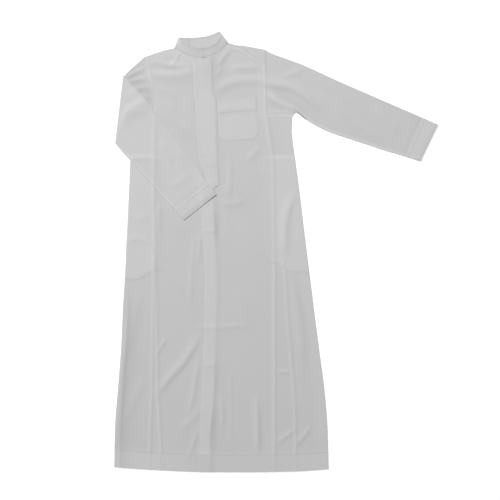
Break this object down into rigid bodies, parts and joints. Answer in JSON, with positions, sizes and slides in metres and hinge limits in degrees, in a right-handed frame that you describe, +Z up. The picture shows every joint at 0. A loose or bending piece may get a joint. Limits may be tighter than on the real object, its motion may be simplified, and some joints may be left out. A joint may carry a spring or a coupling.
{
  "type": "thobe robe laid flat",
  "caption": "Long-sleeved, ankle-length robe with a stand collar and a front placket, laid flat on its back with one sleeve folded over the chest.",
  "frame": {"origin": "on the floor under the middle of the robe's box", "axes": "+Y from the hem towards the collar, +Z up out of the surface that the robe lies on, +X towards the sleeve that lies out straight"},
  "size_m": [1.075, 1.4586, 0.0152],
  "materials": {
    "main_cloth": "matte, plain white polyester suiting",
    "stiffened_cloth": "the same cloth, doubled over an interlining",
    "pocketing": "thin plain white pocketing"
  },
  "bodies": {
    "root": {"back": "main_cloth", "yoke": "main_cloth", "front_left": "main_cloth", "front_right": "main_cloth", "side_panel_left": "main_cloth", "side_panel_right": "main_cloth", "gore_left": "main_cloth", "gore_right": "main_cloth", "sleeve_left": "main_cloth", "sleeve_right": "main_cloth", "cuff_left": "stiffened_cloth", "cuff_right": "stiffened_cloth", "collar": "stiffened_cloth", "placket": "stiffened_cloth", "pocket": "main_cloth", "pocket_band": "stiffened_cloth", "pocket_bag_left": "pocketing", "pocket_bag_right": "pocketing"}
  },
  "joints": []
}
